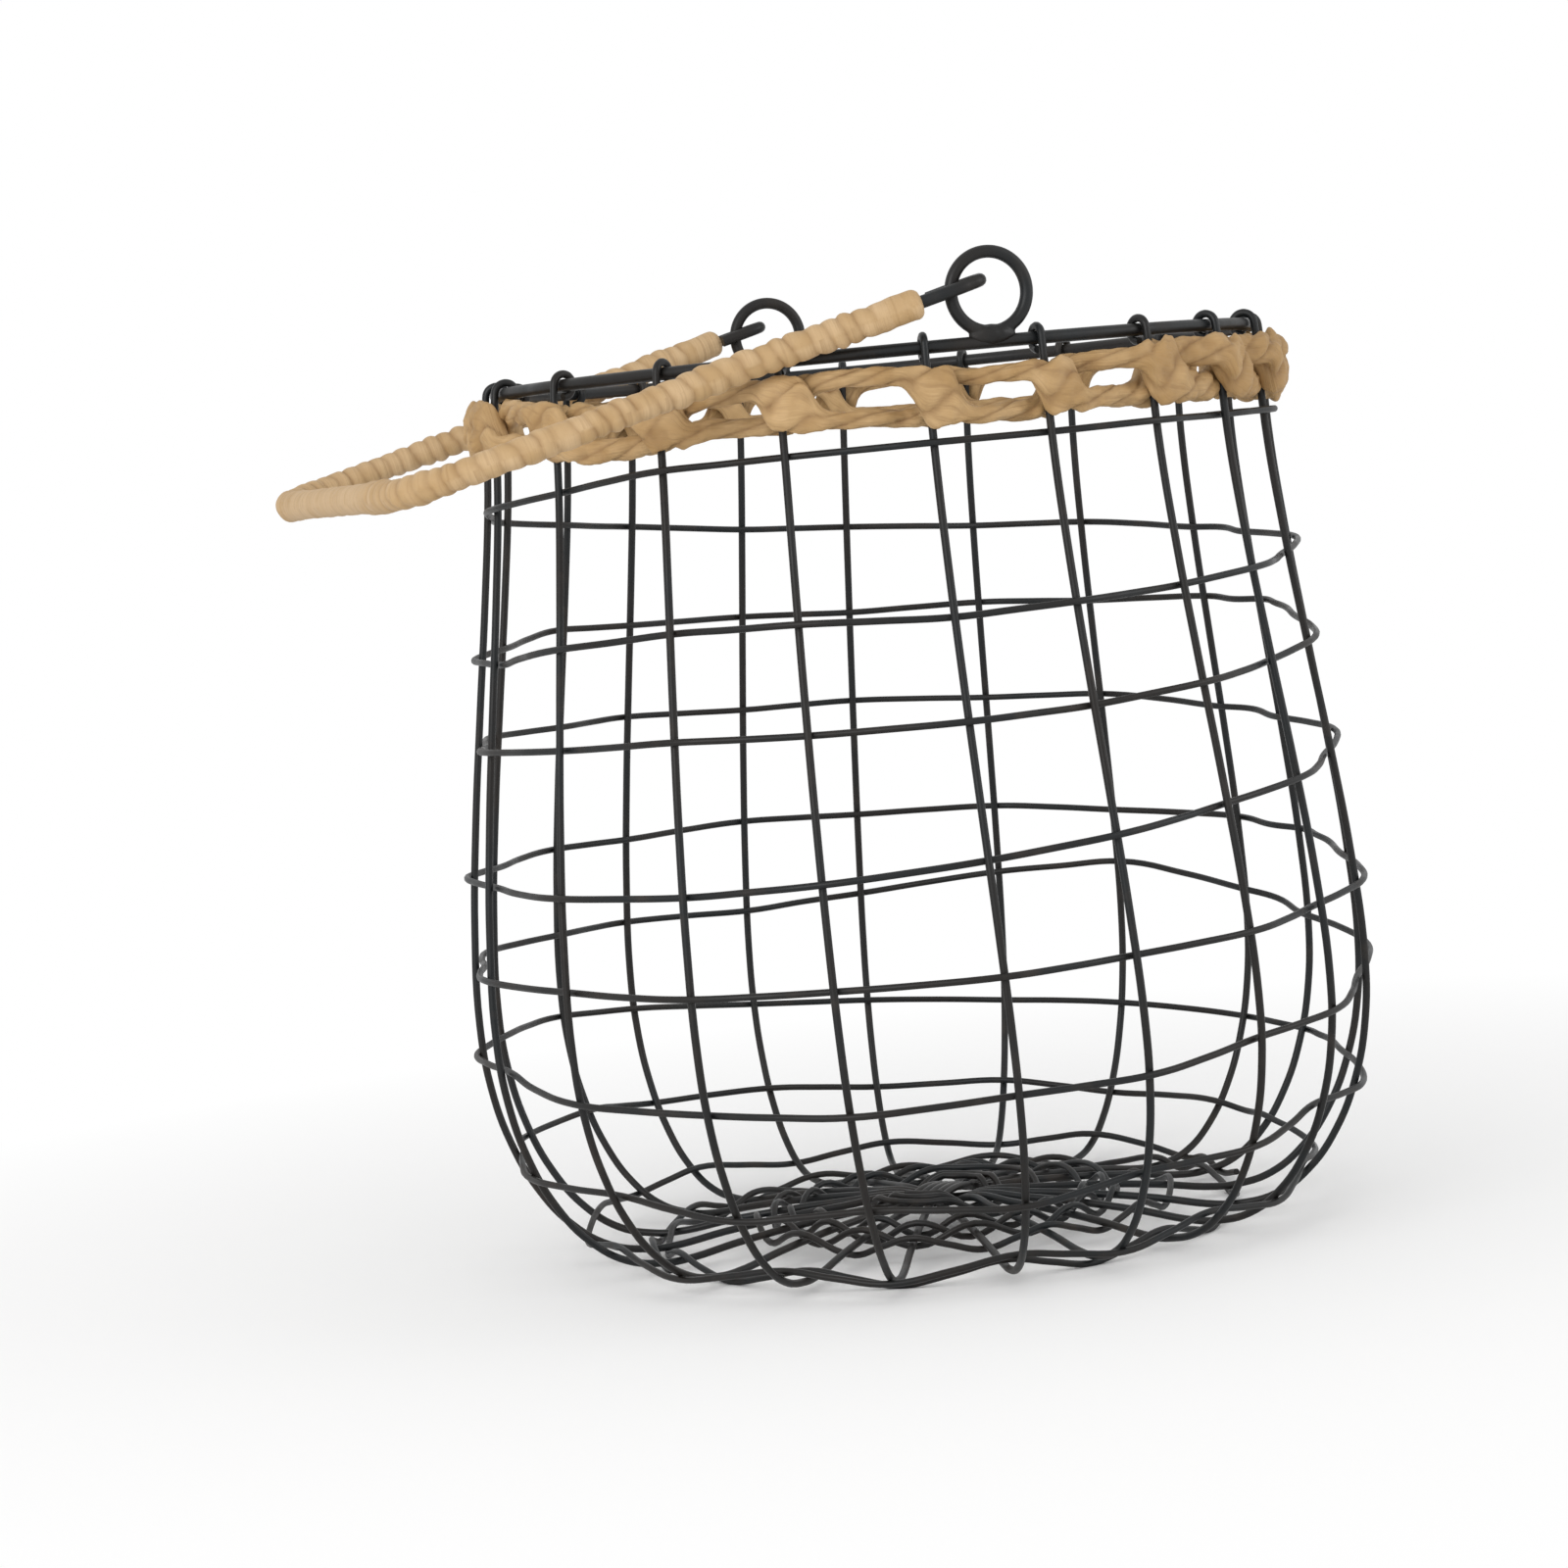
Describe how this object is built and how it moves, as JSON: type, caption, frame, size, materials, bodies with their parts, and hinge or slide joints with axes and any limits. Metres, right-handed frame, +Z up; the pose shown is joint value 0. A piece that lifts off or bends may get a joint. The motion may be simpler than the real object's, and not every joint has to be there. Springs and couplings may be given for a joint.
{
  "type": "hanging planter basket",
  "caption": "Round bowl of woven black steel wire with a twined raffia band under its rim and a raffia-wound bail handle hinged on two rim eyes.",
  "frame": {"origin": "on the ground, under the middle of the rim, at the level of the weft where it passes under the stakes' lowest bends", "axes": "+Z up; the eyes and the hinge line of the handle lie along Y, with the front eye at -Y; the handle is folded down to -X"},
  "size_m": [0.3329, 0.2983, 0.3185],
  "materials": {
    "black_wire": "satin black lacquer on steel wire",
    "raffia_band": "golden brown twined raffia",
    "raffia_grip": "pale raffia wound side by side"
  },
  "bodies": {
    "basket": {"rim_hoop": "black_wire", "stake_wire_01": "black_wire", "stake_wire_02": "black_wire", "stake_wire_03": "black_wire", "stake_wire_04": "black_wire", "stake_wire_05": "black_wire", "stake_wire_06": "black_wire", "stake_wire_07": "black_wire", "stake_wire_08": "black_wire", "stake_wire_09": "black_wire", "stake_wire_10": "black_wire", "base_weft": "black_wire", "wall_weft_turn_01": "black_wire", "wall_weft_turn_02": "black_wire", "wall_weft_turn_03": "black_wire", "wall_weft_turn_04": "black_wire", "wall_weft_turn_05": "black_wire", "wall_weft_turn_06": "black_wire", "wall_weft_turn_07": "black_wire", "wall_weft_turn_08": "black_wire", "band_strand_a": "raffia_band", "band_strand_b": "raffia_band", "eye_front": "black_wire", "eye_rear": "black_wire"},
    "handle": {"bail_wire": "black_wire", "raffia_wrap": "raffia_grip"}
  },
  "joints": [
    {"name": "handle_swing", "type": "hinge", "parent": "basket", "child": "handle", "pos_m": [0, 0, 0.3045], "axis": [0, 1, 0], "range_deg": [0, 198]}
  ]
}
